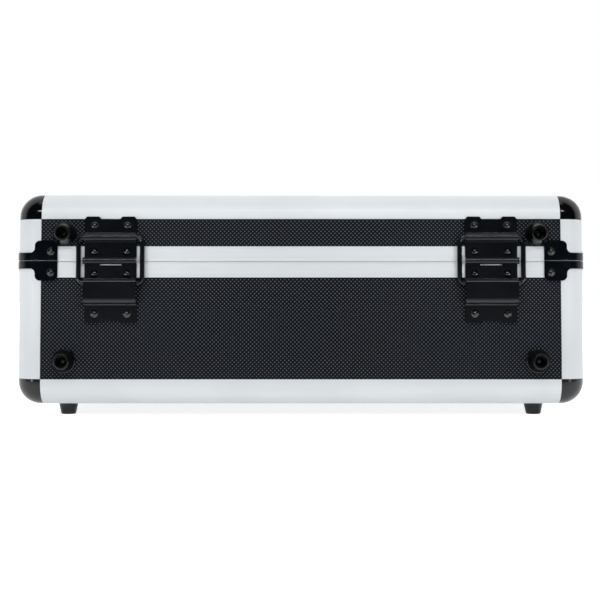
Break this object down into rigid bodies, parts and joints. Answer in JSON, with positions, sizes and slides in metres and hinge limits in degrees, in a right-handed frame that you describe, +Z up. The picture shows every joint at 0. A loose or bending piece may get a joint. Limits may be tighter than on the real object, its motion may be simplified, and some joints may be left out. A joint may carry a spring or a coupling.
{
  "type": "mixer case",
  "caption": "Shallow rectangular equipment case with aluminium edge profiles, black panels, ball corners, a lid on stay hinges, draw latches, a carrying handle and rubber feet.",
  "frame": {"origin": "on the ground plane, at the middle of the overall box in X and Y", "axes": "+X along the case's width, to the right seen from the front; +Y from the latch side to the hinge side; +Z up"},
  "size_m": [0.5312, 0.4308, 0.205],
  "materials": {
    "aluminium": "satin clear-anodised extrusion",
    "laminate": "black laminate with a fine embossed diamond grain on a plywood core",
    "black_steel": "satin black coated steel sheet and wire",
    "black_fasteners": "glossy black",
    "black_pins": "satin black",
    "black_plastic": "smooth black moulding",
    "handle_plastic": "satin black moulding",
    "foam": "charcoal open-cell foam"
  },
  "bodies": {
    "base": {"base_bottom_panel": "laminate", "base_corner_caps": "black_plastic", "base_corner_posts": "aluminium", "base_feet": "black_plastic", "base_floor_foam": "foam", "base_foot_screws": "black_fasteners", "base_front_edge": "aluminium", "base_front_panel": "laminate", "base_front_rail": "aluminium", "base_hinge_leaf_left": "black_steel", "base_hinge_leaf_right": "black_steel", "base_left_panel": "laminate", "base_rear_edge": "aluminium", "base_rear_feet": "black_plastic", "base_rear_panel": "laminate", "base_rear_rail": "aluminium", "base_right_panel": "laminate", "base_rim_brackets": "black_steel", "base_rivets": "black_fasteners", "base_side_edges": "aluminium", "base_side_rails": "aluminium", "base_wall_foam": "foam", "handle_brackets": "black_steel", "handle_pins": "black_pins", "hinge_pins": "black_pins", "latch_pins": "black_pins", "latch_plate_left": "black_steel", "latch_plate_right": "black_steel"},
    "lid": {"latch_keepers": "black_steel", "lid_corner_caps": "black_plastic", "lid_corner_posts": "aluminium", "lid_foam": "foam", "lid_foot_screws": "black_fasteners", "lid_front_edge": "aluminium", "lid_front_panel": "laminate", "lid_front_rail": "aluminium", "lid_hinge_leaf_left": "black_steel", "lid_hinge_leaf_right": "black_steel", "lid_left_panel": "laminate", "lid_rear_edge": "aluminium", "lid_rear_feet": "black_plastic", "lid_rear_panel": "laminate", "lid_rear_rail": "aluminium", "lid_right_panel": "laminate", "lid_rim_brackets": "black_steel", "lid_rivets": "black_fasteners", "lid_side_edges": "aluminium", "lid_side_rails": "aluminium", "lid_top_panel": "laminate"},
    "ring_left": {"stay_ring_left": "black_steel"},
    "ring_right": {"stay_ring_right": "black_steel"},
    "handle": {"handle": "handle_plastic"},
    "lever_left": {"latch_lever_left": "black_steel"},
    "lever_right": {"latch_lever_right": "black_steel"},
    "bail_left": {"latch_bail_left": "black_steel"},
    "bail_right": {"latch_bail_right": "black_steel"}
  },
  "joints": [
    {"name": "lid_hinge", "type": "hinge", "parent": "base", "child": "lid", "pos_m": [0, 0.20515, 0.143], "axis": [-1, 0, 0], "range_deg": [0, 90]},
    {"name": "ring_left_pivot", "type": "hinge", "parent": "lid", "child": "ring_left", "pos_m": [-0.1749, 0.2044, 0.1646], "axis": [-1, 0, 0], "range_deg": [-56, 0]},
    {"name": "ring_right_pivot", "type": "hinge", "parent": "lid", "child": "ring_right", "pos_m": [0.1749, 0.2044, 0.1646], "axis": [-1, 0, 0], "range_deg": [-56, 0]},
    {"name": "handle_pivot", "type": "hinge", "parent": "base", "child": "handle", "pos_m": [0, -0.20735, 0.096], "axis": [-1, 0, 0], "range_deg": [0, 100]},
    {"name": "lever_left_pivot", "type": "hinge", "parent": "base", "child": "lever_left", "pos_m": [-0.165, -0.20485, 0.122], "axis": [1, 0, 0], "range_deg": [-95, 0]},
    {"name": "lever_right_pivot", "type": "hinge", "parent": "base", "child": "lever_right", "pos_m": [0.165, -0.20485, 0.122], "axis": [1, 0, 0], "range_deg": [-95, 0]},
    {"name": "bail_left_pivot", "type": "hinge", "parent": "lever_left", "child": "bail_left", "pos_m": [-0.165, -0.2025, 0.1125], "axis": [-1, 0, 0], "range_deg": [0, 180]},
    {"name": "bail_right_pivot", "type": "hinge", "parent": "lever_right", "child": "bail_right", "pos_m": [0.165, -0.2025, 0.1125], "axis": [-1, 0, 0], "range_deg": [0, 180]}
  ],
  "couplings": [
    {"joint": "ring_left_pivot", "follows": "lid_hinge", "ratio": -0.62},
    {"joint": "ring_right_pivot", "follows": "lid_hinge", "ratio": -0.62}
  ]
}
